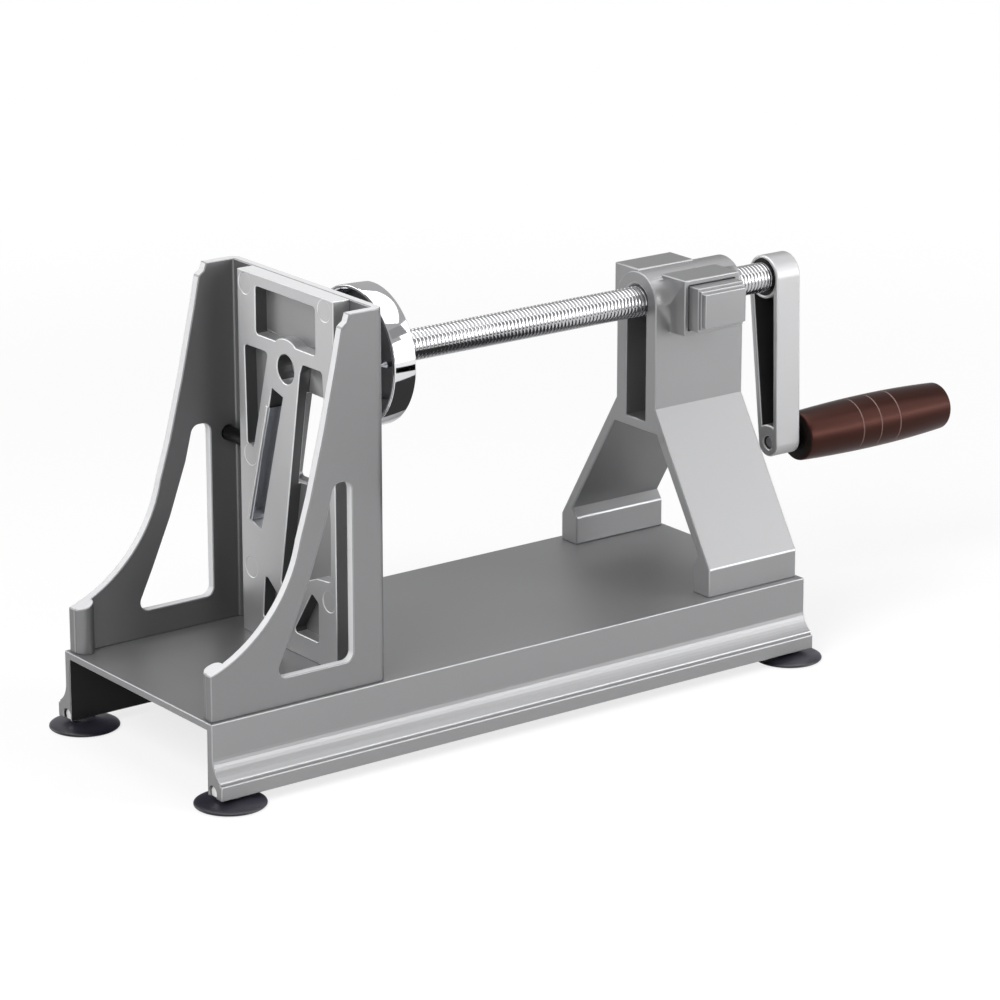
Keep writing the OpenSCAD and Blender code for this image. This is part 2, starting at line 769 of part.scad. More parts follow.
module crank_arm() {
    color("#a4a6aa") at_home() at_arm() difference() {
        extrude_x(arm_x, arm_t) tapered_link(arm_top_r, arm_end_r, throw);
        extrude_x(arm_x - over, arm_t - arm_floor + over) arm_pocket();
        bar_x(arm_x - over, arm_seat + over, spindle_r + fit, 0, 0);
        bar_x(arm_x - over, arm_cup_depth + over, arm_cup_r, 0, 0);
        bar_x(arm_x, arm_t + over, crank_screw_r + fit, 0, 0);
        cone_x(arm_back_x - crank_head_h, crank_head_h, crank_screw_r + fit, crank_head_r + fit, 0, 0);
        bar_x(arm_x - over, arm_t + 2 * over, stud_r + fit, 0, -throw);
        bar_x(arm_x - over, end_cup_depth + over, end_cup_r, 0, -throw);
    }
}

module crank_screw() {
    color("#c9cacd") at_home() {
        cone_x(arm_back_x - crank_head_h, crank_head_h, crank_screw_r, crank_head_r);
        bar_x(arm_x + arm_seat - crank_screw_depth, arm_t - arm_seat - crank_head_h + crank_screw_depth,
              crank_screw_r);
    }
}

module handle_bolt() {
    shoulder = arm_back_x + handle_nut_t;
    head = grip_end_x - grip_cup_depth + end_play;
    color("#c9cacd") at_home() at_arm() {
        bar_x(arm_x + stud_in, shoulder - arm_x - stud_in, stud_r, 0, -throw);
        bar_x(shoulder, head - shoulder, pivot_r, 0, -throw);
        bar_x(head, bolt_head_h, bolt_head_r, 0, -throw);
    }
}

module handle_nut() {
    color("#c9cacd") at_home() at_arm() difference() {
        translate([arm_back_x, 0, -throw]) rotate([0, 90, 0])
            cylinder(h = handle_nut_t, r = nut_corner_r, $fn = 6);
        bar_x(arm_back_x - over, handle_nut_t + 2 * over, stud_r + fit, 0, -throw);
    }
}

module handle_washer() {
    from = arm_back_x + handle_nut_t;
    color("#c9cacd") at_home() at_arm() difference() {
        bar_x(from, grip_x - end_play - from, handle_washer_r, 0, -throw);
        bar_x(from - over, grip_gap + 2 * over, pivot_r + fit, 0, -throw);
    }
}

// Radius of the grip at a share of its length
function grip_at(t) = t < grip_crown_share
    ? grip_r - (grip_r - grip_near_r) * pow((grip_crown_share - t) / grip_crown_share, 2)
    : grip_r - (grip_r - grip_far_r) * pow((t - grip_crown_share) / (1 - grip_crown_share), 2);

module grip_body() {
    full = 1 - grip_end_round / grip_len;
    far_r = grip_at(full);
    barrel = [for (i = [0 : 2 * grip_steps]) let (t = full * i / (2 * grip_steps))
              [grip_at(t) - (i == 0 ? grip_edge : 0), t * grip_len]];
    shoulder = [for (a = [15 : 15 : 90])
                [far_r - grip_end_round * (1 - cos(a)), grip_len - grip_end_round * (1 - sin(a))]];
    rotate_extrude() polygon(concat([[0, 0]], barrel, shoulder, [[0, grip_len]]));
}

module handle_grip() {
    color("#4a211c") at_home() at_arm() translate([grip_x, 0, -throw]) rotate([0, 90, 0]) difference() {
        grip_body();
        translate([0, 0, -over]) cylinder(h = grip_len + 2 * over, r = pivot_r + run_gap);
        translate([0, 0, grip_len - grip_cup_depth]) cylinder(h = grip_cup_depth + over, r = grip_cup_r);
        for (t = groove_shares) translate([0, 0, t * grip_len - groove_w / 2]) difference() {
            cylinder(h = groove_w, r = grip_r + over);
            translate([0, 0, -over]) cylinder(h = groove_w + 2 * over, r = grip_at(t) - groove_depth);
        }
    }
}

base_channel();
front_bracket();
bracket_screws();
blade_frame();
frame_screws();
slicing_blade();
blade_screws();
blade_lock_screw();
stand();
stand_screws();
cup(cup_edge, -1);  // cup_near_front
cup(cup_edge, 1);  // cup_far_front
cup(base_len - cup_edge, -1);  // cup_near_rear
cup(base_len - cup_edge, 1);  // cup_far_rear
cup_bolts();
release_button();
half_nut();
button_pins();
spindle();
pusher_disc();
pusher_prongs();
disc_screw();
crank_washer();
crank_arm();
crank_screw();
handle_bolt();
handle_nut();
handle_washer();
handle_grip();
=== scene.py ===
import bpy, bmesh, json, math
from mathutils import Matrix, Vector


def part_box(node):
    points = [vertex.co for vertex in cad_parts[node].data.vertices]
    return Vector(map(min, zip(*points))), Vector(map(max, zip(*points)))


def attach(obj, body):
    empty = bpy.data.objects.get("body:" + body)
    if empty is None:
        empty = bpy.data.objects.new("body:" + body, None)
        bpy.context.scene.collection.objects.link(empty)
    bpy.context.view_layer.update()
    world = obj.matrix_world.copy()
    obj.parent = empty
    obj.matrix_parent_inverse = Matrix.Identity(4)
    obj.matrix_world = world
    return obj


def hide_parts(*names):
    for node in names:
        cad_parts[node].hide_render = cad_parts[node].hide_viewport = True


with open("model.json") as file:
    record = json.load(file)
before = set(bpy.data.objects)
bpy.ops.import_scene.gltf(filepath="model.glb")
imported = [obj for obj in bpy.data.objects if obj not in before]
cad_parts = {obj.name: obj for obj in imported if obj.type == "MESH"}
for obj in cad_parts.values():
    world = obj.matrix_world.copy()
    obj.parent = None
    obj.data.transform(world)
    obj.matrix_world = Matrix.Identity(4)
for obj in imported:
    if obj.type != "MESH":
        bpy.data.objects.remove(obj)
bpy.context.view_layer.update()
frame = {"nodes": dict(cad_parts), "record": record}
nodes = frame["nodes"]
mm = 0.001
print("stage: frame loaded,", len(nodes), "nodes")

def addObject(name, data):
    item = bpy.data.objects.new(name, data)
    bpy.context.scene.collection.objects.link(item)
    return item

# Camera, where the photograph was taken from
cameraView = {"place": (-1.1042, -1.4385, 0.6451), "yaw": 53.23, "pitch": -17.36, "lens": 151.4,
              "sensor": 36}
cameraData = bpy.data.cameras.new("productCamera")
cameraData.lens = cameraView["lens"]
cameraData.sensor_width = cameraView["sensor"]
camera = addObject("productCamera", cameraData)
yaw, pitch = math.radians(cameraView["yaw"]), math.radians(cameraView["pitch"])
aim = Vector((math.cos(yaw) * math.cos(pitch), math.sin(yaw) * math.cos(pitch), math.sin(pitch)))
camera.location = cameraView["place"]
camera.rotation_euler = aim.to_track_quat("-Z", "Y").to_euler()
bpy.context.scene.camera = camera

# Helpers for node trees
def link(tree, source, target):
    tree.links.new(source, target)

def addNode(tree, kind, **settings):
    node = tree.nodes.new(kind)
    for name, value in settings.items():
        setattr(node, name, value)
    return node

def setValues(node, values):
    for label, value in values.items():
        node.inputs[label].default_value = value

def calc(tree, operation, first, second=None, clamp=False):
    node = addNode(tree, "ShaderNodeMath", operation=operation, use_clamp=clamp)
    for socket, value in zip(node.inputs, (first, second)):
        if value is None:
            continue
        if isinstance(value, (int, float)):
            socket.default_value = value
        else:
            link(tree, value, socket)
    return node.outputs[0]

def makeGroup(name, kind, inputs, outputs):
    tree = bpy.data.node_groups.new(name, kind)
    for label, socketType, value in inputs:
        socket = tree.interface.new_socket(label, in_out="INPUT", socket_type=socketType)
        if value is not None:
            socket.default_value = value
    for label, socketType in outputs:
        tree.interface.new_socket(label, in_out="OUTPUT", socket_type=socketType)
    return tree, tree.nodes.new("NodeGroupInput"), tree.nodes.new("NodeGroupOutput")

def noise(tree, vector, scale, detail, rough):
    node = addNode(tree, "ShaderNodeTexNoise")
    setValues(node, {"Detail": detail, "Roughness": rough})
    link(tree, vector, node.inputs["Vector"])
    link(tree, scale, node.inputs["Scale"])
    return node.outputs["Fac"]

# The shader group that all finishes share
def buildSurfaceGroup():
    # Broad tone drift and fine grain, in the piece's own place
    tree, start, end = makeGroup(
        "surfaceGrain", "ShaderNodeTree",
        [("Base", "NodeSocketColor", (0.5, 0.5, 0.5, 1)), ("Drift", "NodeSocketFloat", 0.06),
         ("Drift Scale", "NodeSocketFloat", 22.0), ("Grain", "NodeSocketFloat", 0.04),
         ("Grain Scale", "NodeSocketFloat", 1800.0), ("Roughness", "NodeSocketFloat", 0.4),
         ("Rough Spread", "NodeSocketFloat", 0.08), ("Stretch", "NodeSocketVector", (1, 1, 1))],
        [("Color", "NodeSocketColor"), ("Roughness", "NodeSocketFloat"), ("Height", "NodeSocketFloat")])
    place = addNode(tree, "ShaderNodeTexCoord")
    stretched = addNode(tree, "ShaderNodeVectorMath", operation="MULTIPLY")
    link(tree, place.outputs["Object"], stretched.inputs[0])
    link(tree, start.outputs["Stretch"], stretched.inputs[1])
    broad = noise(tree, place.outputs["Object"], start.outputs["Drift Scale"], 2.0, 0.5)
    fine = noise(tree, stretched.outputs[0], start.outputs["Grain Scale"], 4.0, 0.6)
    driftPart = calc(tree, "MULTIPLY", calc(tree, "SUBTRACT", broad, 0.5), start.outputs["Drift"])
    grainPart = calc(tree, "MULTIPLY", calc(tree, "SUBTRACT", fine, 0.5), start.outputs["Grain"])
    tone = calc(tree, "ADD", calc(tree, "ADD", driftPart, grainPart), 1.0)
    shade = addNode(tree, "ShaderNodeVectorMath", operation="SCALE")
    link(tree, start.outputs["Base"], shade.inputs[0])
    link(tree, tone, shade.inputs["Scale"])
    link(tree, shade.outputs[0], end.inputs["Color"])
    mixed = calc(tree, "ADD", calc(tree, "MULTIPLY", broad, 0.5), calc(tree, "MULTIPLY", fine, 0.5))
    roughPart = calc(tree, "MULTIPLY", calc(tree, "SUBTRACT", mixed, 0.5), start.outputs["Rough Spread"])
    link(tree, calc(tree, "ADD", roughPart, start.outputs["Roughness"], True), end.inputs["Roughness"])
    link(tree, mixed, end.inputs["Height"])
    return tree

surfaceGroup = buildSurfaceGroup()

def toLinear(color):
    return tuple((c / 12.92 if c <= 0.04045 else ((c + 0.055) / 1.055) ** 2.4) for c in color) + (1.0,)

def makeFinish(name, color, metallic=0.0, roughness=0.4, drift=0.06, driftScale=22.0, grain=0.04,
               grainScale=1800.0, roughSpread=0.08, stretch=(1, 1, 1), bump=0.0, specular=0.5,
               sheen=0.0, sheenTint=(1, 1, 1)):
    material = bpy.data.materials.new(name)
    material.use_nodes = True
    tree = material.node_tree
    shader = tree.nodes["Principled BSDF"]
    group = addNode(tree, "ShaderNodeGroup", node_tree=surfaceGroup)
    setValues(group, {"Base": toLinear(color), "Drift": drift, "Drift Scale": driftScale,
                      "Grain": grain, "Grain Scale": grainScale, "Roughness": roughness,
                      "Rough Spread": roughSpread, "Stretch": stretch})
    link(tree, group.outputs["Color"], shader.inputs["Base Color"])
    link(tree, group.outputs["Roughness"], shader.inputs["Roughness"])
    setValues(shader, {"Metallic": metallic, "Specular IOR Level": specular, "Sheen Weight": sheen,
                       "Sheen Tint": sheenTint + (1.0,)})
    if bump:
        relief = addNode(tree, "ShaderNodeBump")
        setValues(relief, {"Strength": 1.0, "Distance": bump})
        link(tree, group.outputs["Height"], relief.inputs["Height"])
        link(tree, relief.outputs["Normal"], shader.inputs["Normal"])
    return material

# Satin castings share one recipe and differ in tone
castRecipe = {"metallic": 0.8, "roughness": 0.40, "drift": 0.04, "grain": 0.05, "bump": 0.000008}
tones = {
    "base_channel": (0.585, 0.585, 0.59), "front_bracket": (0.53, 0.53, 0.535),
    "blade_frame": (0.77, 0.77, 0.775), "stand": (0.59, 0.59, 0.595),
    "crank_arm": (0.71, 0.71, 0.715), "release_button": (0.59, 0.59, 0.595),
}
finishes = {node: makeFinish(node.split("_")[0] + "Satin", tone, **castRecipe)
            for node, tone in tones.items()}

# Their broken edges get a painted highlight as a paler tone, and they are smoother
edgeHighlight = {"paler": 1.2, "palest": 0.92, "roughness": 0.36}
edgeRecipe = dict(castRecipe, roughness=edgeHighlight["roughness"], bump=0.0)
edgeHighlightFinishes = {}
for node, tone in tones.items():
    highlighted = tuple(min(edgeHighlight["palest"], c * edgeHighlight["paler"]) for c in tone)
    edgeHighlightFinishes[node] = makeFinish(node.split("_")[0] + "Edge", highlighted, **edgeRecipe)

# Their recesses get painted shade as darker tones, and the channel's inside and the arm's pocket are
# duller too; milled faces are pale
dullRecipe = dict(castRecipe, roughness=0.6)
recessShadeFinishes = {"blade_frame": makeFinish("frameRecessShade", (0.61, 0.61, 0.615), **castRecipe),
                "base_channel": makeFinish("channelInsideShade", (0.22, 0.22, 0.22), **dullRecipe),
                "crank_arm": makeFinish("armRecessShade", (0.34, 0.34, 0.34), **dullRecipe)}
# Painted shade: the frame's recess sides that look towards the near wing are painted darker
shadeFinish = makeFinish("recessSideShade", (0.36, 0.36, 0.365), **dict(castRecipe, roughness=0.5))
milledFinish = makeFinish("milledFace", (0.81, 0.81, 0.815), metallic=0.25, roughness=0.55,
                          drift=0.03, grain=0.06, grainScale=900.0, bump=0.000006)

# Steel, rubber and the grip
chromeFinish = makeFinish("mirrorChrome", (0.93, 0.93, 0.94), metallic=1.0, roughness=0.06,
                          drift=0.01, grain=0.015, grainScale=900.0, roughSpread=0.03)
threadFinish = makeFinish("rolledThread", (0.82, 0.82, 0.83), metallic=1.0, roughness=0.09,
                          drift=0.02, grain=0.03, roughSpread=0.05)
zincFinish = makeFinish("brightZinc", (0.78, 0.78, 0.80), metallic=1.0, roughness=0.28, drift=0.04,
                        grain=0.05)
groundFinish = makeFinish("groundSteel", (0.80, 0.81, 0.83), metallic=1.0, roughness=0.22, drift=0.02,
                          grain=0.12, grainScale=400.0, stretch=(1, 6, 0.15), roughSpread=0.12)
nickelFinish = makeFinish("paleNickel", (0.93, 0.93, 0.92), metallic=0.4, roughness=0.3)
# The disc's cup is rougher than the chrome and painted darker, as painted shade
discShadeFinish = makeFinish("discRecessShade", (0.30, 0.30, 0.31), metallic=0.9, roughness=0.35)
brassFinish = makeFinish("machinedNut", (0.55, 0.54, 0.52), metallic=0.9, roughness=0.35)
blackFinish = makeFinish("blackOxide", (0.075, 0.075, 0.08), metallic=0.6, roughness=0.38, drift=0.1,
                         grain=0.1)
cupFinish = makeFinish("softRubber", (0.085, 0.08, 0.10), roughness=0.34, drift=0.12, grain=0.06,
                       specular=0.6, sheen=0.15, sheenTint=(0.75, 0.7, 1.0), bump=0.00001)
gripFinish = makeFinish("gripBrown", (0.235, 0.135, 0.115), metallic=0.65, roughness=0.30, drift=0.10,
                        driftScale=60.0, grain=0.10, grainScale=900.0, stretch=(0.12, 1, 1), specular=0.12)
gripEndFinish = makeFinish("gripEnd", (0.07, 0.045, 0.04), roughness=0.5, specular=0.2)
grooveFinish = makeFinish("gripGroove", (0.46, 0.36, 0.34), roughness=0.45, drift=0.1, grain=0.08)
print("stage: finishes made")

# A finished piece is a plain mesh that takes its node's place and body
bodyOf = {node: body for body, parts in frame["record"]["behaviour"]["bodies"].items() for node in parts}

def finishPiece(piece, node):
    graph = bpy.context.evaluated_depsgraph_get()
    graph.update()
    mesh = bpy.data.meshes.new_from_object(piece.evaluated_get(graph))
    old = piece.data
    piece.modifiers.clear()
    piece.data = mesh
    bpy.data.meshes.remove(old)
    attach(piece, bodyOf[node])
    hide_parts(node)

rodLow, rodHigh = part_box("spindle")
axisHeight = (rodLow[2] + rodHigh[2]) / 2

# How the castings' faces are told apart: distances in metres from the piece's box, or from the
# middle plane for wingSide, and leans as parts of a face's normal
milling = {"toeReach": 0.0095, "toeLean": 0.3, "toeDrop": 0.1, "wingSide": 0.0515, "wingLean": 0.2,
           "levelLean": 0.9, "bracketTop": 0.03, "frameTop": 0.003}
recesses = {"lean": 0.5, "frameFront": 0.0015, "frameMargin": 0.001, "sideLean": 0.6,
            "underDeck": 0.012, "channelLean": 0.7, "armFace": 0.0008, "armInward": 0.0005,
            "armTilt": 4.2}

def isMilled(node, spot, side, low, high):
    # Tops, and the wings' edges all round
    m = milling
    if node == "front_bracket":
        if spot.x < low.x + m["toeReach"]:
            return side.z > m["toeLean"] and spot.z < high.z - m["toeDrop"]
        return ((abs(spot.y) > m["wingSide"] and abs(side.y) < m["wingLean"])
                or (side.z > m["levelLean"] and spot.z > high.z - m["bracketTop"]))
    return node == "blade_frame" and side.z > m["levelLean"] and spot.z > high.z - m["frameTop"]

def isDeep(node, spot, side, low, high):
    # Floors of recesses, the channel's inside and the arm's pocket, which take painted shade
    r = recesses
    if node == "blade_frame":
        return low.x + r["frameFront"] < spot.x < high.x - r["frameMargin"] and side.x < -r["lean"]
    if node == "base_channel":
        return ((side.z < -r["lean"] and spot.z > low.z + r["underDeck"])
                or (side.y * spot.y < 0 and abs(side.y) > r["channelLean"]))
    if node != "crank_arm" or not low.x + r["armFace"] <= spot.x <= high.x - r["armFace"]:
        return False
    tilt = math.radians(r["armTilt"])
    along = Vector((0, -math.sin(tilt), -math.cos(tilt)))
    aside = Vector((0, spot.y, spot.z - axisHeight))
    aside -= along * aside.dot(along)
    return side.x < -r["lean"] or side.dot(aside) < -r["armInward"]

def isShaded(node, spot, side, low):
    # Sides of the frame's recesses that look towards the near wing, which take painted shade
    r = recesses
    return (node == "blade_frame" and side.y < -r["sideLean"]
            and spot.x > low.x + r["frameMargin"] and spot.y > low.y + r["frameMargin"])

def faceLook(node, face, low, high):
    spot, side = face.calc_center_median(), face.normal
    if isMilled(node, spot, side, low, high):
        return "milled"
    if isDeep(node, spot, side, low, high):
        return "deep"
    return "shaded" if isShaded(node, spot, side, low) else "plain"

# Castings are taken from the frame and get their edges broken, by these widths in mm
edgeWidths = {"base_channel": 0.4, "front_bracket": 0.45, "blade_frame": 0.4, "stand": 0.5,
              "crank_arm": 0.6, "release_button": 0.35}
softening = {"segments": 2, "sharpAngle": math.radians(20), "flatAngle": math.radians(0.6),
             "weld": 0.000002}

def softenNode(node, width):
    mesh = nodes[node].data.copy()
    work = bmesh.new()
    work.from_mesh(mesh)
    bmesh.ops.remove_doubles(work, verts=work.verts, dist=softening["weld"])
    bmesh.ops.dissolve_limit(work, angle_limit=softening["flatAngle"], verts=work.verts, edges=work.edges)
    bmesh.ops.triangulate(work, faces=work.faces, quad_method="BEAUTY", ngon_method="BEAUTY")
    low, high = (Vector(pick(v.co[i] for v in work.verts) for i in range(3)) for pick in (min, max))
    weights = work.edges.layers.float.new("bevel_weight_edge")
    for rim in work.edges:
        outward = rim.is_manifold and rim.calc_face_angle_signed() > softening["sharpAngle"]
        rim[weights] = 1.0 if outward else 0.0
    # The deep look is painted shade, a darker tone in recesses
    looks = {"plain": finishes[node], "edge": edgeHighlightFinishes[node], "milled": milledFinish,
             "deep": recessShadeFinishes.get(node, finishes[node]), "shaded": shadeFinish}
    order = list(looks)
    for face in work.faces:
        face.material_index = order.index(faceLook(node, face, low, high))
    mesh.materials.clear()
    for material in looks.values():
        mesh.materials.append(material)
    work.to_mesh(mesh)
    work.free()
    mesh.shade_smooth()
    mesh.set_sharp_from_angle(angle=softening["sharpAngle"])
    piece = addObject(node + "_finished", mesh)
    bevel = piece.modifiers.new("brokenEdge", "BEVEL")
    bevel.width = width * mm
    bevel.segments = softening["segments"]
    bevel.limit_method = "WEIGHT"
    bevel.use_clamp_overlap = False
    bevel.loop_slide = False
    # The bevel's faces take the painted edge highlight
    bevel.material = order.index("edge")
    weigh = piece.modifiers.new("evenFaces", "WEIGHTED_NORMAL")
    weigh.mode = "FACE_AREA"
    weigh.weight = 100
    weigh.keep_sharp = True
    finishPiece(piece, node)

for node, width in edgeWidths.items():
    softenNode(node, width)
print("stage: castings finished")

# The spindle's thread is one helical strip that runs round the rod, sizes in mm
spindleSize = {"pitch": 2.0, "crest": 7.0, "root": 6.5, "stub": 5.0, "rootFlat": 0.14, "flankRise": 4.5,
               "steps": 36, "across": 7, "coreSides": 48, "weld": 0.005, "sharpAngle": 24}

def buildThreadTree():
    tree, start, end = makeGroup(
        "spindleThread", "GeometryNodeTree",
        [("Geometry", "NodeSocketGeometry", None), ("From", "NodeSocketFloat", 0.0),
         ("To", "NodeSocketFloat", 0.1), ("Pitch", "NodeSocketFloat", 0.002),
         ("Crest", "NodeSocketFloat", 0.007), ("Root", "NodeSocketFloat", 0.006),
         ("Root Flat", "NodeSocketFloat", 0.14), ("Flank Rise", "NodeSocketFloat", 4.5),
         ("Axis Height", "NodeSocketFloat", 0.16), ("Stub From", "NodeSocketFloat", 0.0),
         ("Stub Radius", "NodeSocketFloat", 0.005), ("Turns", "NodeSocketInt", 100),
         ("Steps", "NodeSocketInt", 36), ("Finish", "NodeSocketMaterial", None)],
        [("Geometry", "NodeSocketGeometry")])
    rows = calc(tree, "ADD", calc(tree, "MULTIPLY", start.outputs["Turns"], start.outputs["Steps"]), 1.0)
    strip = addNode(tree, "GeometryNodeMeshGrid")
    setValues(strip, {"Size X": 1.0, "Size Y": 1.0, "Vertices Y": spindleSize["across"]})
    link(tree, rows, strip.inputs["Vertices X"])
    place = addNode(tree, "GeometryNodeInputPosition")
    parts = addNode(tree, "ShaderNodeSeparateXYZ")
    link(tree, place.outputs[0], parts.inputs[0])
    along = calc(tree, "MULTIPLY", calc(tree, "ADD", parts.outputs[0], 0.5), start.outputs["Turns"])
    across = calc(tree, "ADD", parts.outputs[1], 0.5)
    turned = calc(tree, "MULTIPLY", along, 2 * math.pi)
    # The strip starts a turn early, and both ends are held flat
    pitches = calc(tree, "ADD", calc(tree, "SUBTRACT", along, 1.0), across)
    run = calc(tree, "MULTIPLY", pitches, start.outputs["Pitch"])
    held = calc(tree, "MAXIMUM", calc(tree, "ADD", run, start.outputs["From"]), start.outputs["From"])
    spot = calc(tree, "MINIMUM", held, start.outputs["To"])
    # Flat root, straight flank, flat crest
    swing = calc(tree, "SUBTRACT", calc(tree, "MULTIPLY", across, 2.0), 1.0)
    ridge = calc(tree, "SUBTRACT", 1.0, calc(tree, "ABSOLUTE", swing))
    climb = calc(tree, "SUBTRACT", ridge, start.outputs["Root Flat"])
    flank = calc(tree, "MULTIPLY", climb, start.outputs["Flank Rise"], True)
    depth = calc(tree, "SUBTRACT", start.outputs["Crest"], start.outputs["Root"])
    radius = calc(tree, "ADD", start.outputs["Root"], calc(tree, "MULTIPLY", flank, depth))
    point = addNode(tree, "ShaderNodeCombineXYZ")
    upward = calc(tree, "MULTIPLY", radius, calc(tree, "SINE", turned))
    link(tree, spot, point.inputs[0])
    link(tree, calc(tree, "MULTIPLY", radius, calc(tree, "COSINE", turned)), point.inputs[1])
    link(tree, calc(tree, "ADD", upward, start.outputs["Axis Height"]), point.inputs[2])
    bend = addNode(tree, "GeometryNodeSetPosition")
    link(tree, strip.outputs["Mesh"], bend.inputs["Geometry"])
    link(tree, point.outputs[0], bend.inputs["Position"])
    weld = addNode(tree, "GeometryNodeMergeByDistance")
    setValues(weld, {"Distance": spindleSize["weld"] * mm})
    link(tree, bend.outputs[0], weld.inputs[0])
    join = addNode(tree, "GeometryNodeJoinGeometry")
    link(tree, weld.outputs[0], join.inputs[0])
    # The core closes the rod inside the strip, and the stub enters the disc
    for first, last, size in (("From", "To", "Root"), ("Stub From", "From", "Stub Radius")):
        core = addNode(tree, "GeometryNodeMeshCylinder")
        setValues(core, {"Vertices": spindleSize["coreSides"]})
        link(tree, start.outputs[size], core.inputs["Radius"])
        link(tree, calc(tree, "SUBTRACT", start.outputs[last], start.outputs[first]), core.inputs["Depth"])
        both = calc(tree, "ADD", start.outputs[last], start.outputs[first])
        centre = addNode(tree, "ShaderNodeCombineXYZ")
        link(tree, calc(tree, "MULTIPLY", both, 0.5), centre.inputs[0])
        link(tree, start.outputs["Axis Height"], centre.inputs[2])
        put = addNode(tree, "GeometryNodeTransform")
        setValues(put, {"Rotation": (0, math.pi / 2, 0)})
        link(tree, core.outputs["Mesh"], put.inputs["Geometry"])
        link(tree, centre.outputs[0], put.inputs["Translation"])
        link(tree, put.outputs[0], join.inputs[0])
    real = addNode(tree, "GeometryNodeRealizeInstances")
    paint = addNode(tree, "GeometryNodeSetMaterial")
    link(tree, join.outputs[0], real.inputs[0])
    link(tree, real.outputs[0], paint.inputs["Geometry"])
    link(tree, start.outputs["Finish"], paint.inputs["Material"])
    link(tree, paint.outputs[0], end.inputs[0])
    return tree

def grownPiece(name, tree, values):
    piece = addObject(name, bpy.data.meshes.new(name))
    modifier = piece.modifiers.new("grow", "NODES")
    modifier.node_group = tree
    sockets = {item.name: item.identifier for item in tree.interface.items_tree
               if item.item_type == "SOCKET" and item.in_out == "INPUT"}
    for label, value in values.items():
        modifier[sockets[label]] = value
    return piece

discLow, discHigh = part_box("pusher_disc")
threadTurns = (rodHigh[0] - discHigh[0]) / (spindleSize["pitch"] * mm)
threadedSpindle = grownPiece("threadedSpindle", buildThreadTree(), {
    "From": discHigh[0], "To": rodHigh[0], "Pitch": spindleSize["pitch"] * mm,
    "Crest": spindleSize["crest"] * mm, "Root": spindleSize["root"] * mm,
    "Root Flat": spindleSize["rootFlat"], "Flank Rise": spindleSize["flankRise"],
    "Axis Height": axisHeight, "Stub From": rodLow[0], "Stub Radius": spindleSize["stub"] * mm,
    "Turns": int(threadTurns) + 2, "Steps": spindleSize["steps"], "Finish": threadFinish})
finishPiece(threadedSpindle, "spindle")
threadedSpindle.data.shade_smooth()
threadedSpindle.data.set_sharp_from_angle(angle=math.radians(spindleSize["sharpAngle"]))
print("stage: thread cut,", len(threadedSpindle.data.polygons), "faces")

# Turned pieces: the profile holds distances along the axis and radii, the axis is "x" or "z" with
# its two fixed places, and marked gives some of the profile's steps another material
turning = {"sharpAngle": 35, "weld": 0.000001}

def turnedPiece(name, node, profile, axis, materials, segments, marked):
    kind, first, second = axis
    mesh = bpy.data.meshes.new(name)
    work = bmesh.new()
    rings = []
    for along, radius in profile:
        ring = []
        for i in range(segments if radius > 0 else 1):
            a = 2 * math.pi * i / segments
            c, s = radius * math.cos(a), radius * math.sin(a)
            spot = (along, first + c, second + s) if kind == "x" else (first + c, second + s, along)
            ring.append(work.verts.new(spot))
        rings.append(ring)
    for index, (one, two) in enumerate(zip(rings, rings[1:])):
        for i in range(segments):
            j = (i + 1) % segments
            corners = [one[i % len(one)], one[j % len(one)], two[j % len(two)], two[i % len(two)]]
            corners = [v for n, v in enumerate(corners) if v not in corners[:n]]
            if len(corners) > 2:
                face = work.faces.new(corners)
                face.material_index = marked.get(index, 0)
    bmesh.ops.remove_doubles(work, verts=work.verts, dist=turning["weld"])
    bmesh.ops.recalc_face_normals(work, faces=work.faces)
    work.to_mesh(mesh)
    work.free()
    for material in materials:
        mesh.materials.append(material)
    mesh.shade_smooth()
    mesh.set_sharp_from_angle(angle=math.radians(turning["sharpAngle"]))
    finishPiece(addObject(name, mesh), node)

def roundStep(radius, degrees):
    # Where a rounded corner is after some degrees: how far it has come, and how far it has to go
    angle = math.radians(degrees)
    return radius * (1 - math.cos(angle)), radius * (1 - math.sin(angle))

# Grip: barrel with three fine rings, and a rounded far end that dips to the cup for the bolt's head
gripSize = {"near": 11.5, "crown": 12.8, "far": 11.1, "crownAt": 0.5, "endRound": 2.2, "edge": 0.8,
            "bore": 3.05, "cup": 6.0, "cupDepth": 6.0, "grooves": (0.355, 0.48, 0.614),
            "grooveWidth": 0.7, "grooveDepth": 0.28, "steps": 30, "segments": 96}

def gripRadius(t):
    g = gripSize
    side, span = (g["near"], g["crownAt"]) if t < g["crownAt"] else (g["far"], 1 - g["crownAt"])
    return g["crown"] - (g["crown"] - side) * ((t - g["crownAt"]) / span) ** 2

def gripProfile(fromX, toX):
    g = gripSize
    length = (toX - fromX) / mm
    full = 1 - g["endRound"] / length
    points = [(0.0, g["bore"]), (0.0, g["near"] - g["edge"])]
    for degrees in (30, 60, 90):
        come, left = roundStep(g["edge"], degrees)
        points.append((come, g["near"] - left))
    marks = []
    stops = sorted([full * i / g["steps"] for i in range(1, g["steps"] + 1)] + list(g["grooves"]))
    for t in stops:
        at, radius = t * length, gripRadius(t)
        if t in g["grooves"]:
            half = g["grooveWidth"] / 2
            marks += [len(points), len(points) + 1]
            points += [(at - half, radius), (at, radius - g["grooveDepth"]), (at + half, radius)]
        elif all(abs(at - other * length) > g["grooveWidth"] for other in g["grooves"]):
            points.append((at, radius))
    for degrees in range(10, 91, 10):
        come, left = roundStep(g["endRound"], degrees)
        points.append((length - left, gripRadius(full) - come))
    points += [(length - g["endRound"], g["cup"]), (length - g["cupDepth"], g["cup"]),
               (length - g["cupDepth"], g["bore"]), (0.0, g["bore"])]
    return [(fromX + along * mm, radius * mm) for along, radius in points], marks

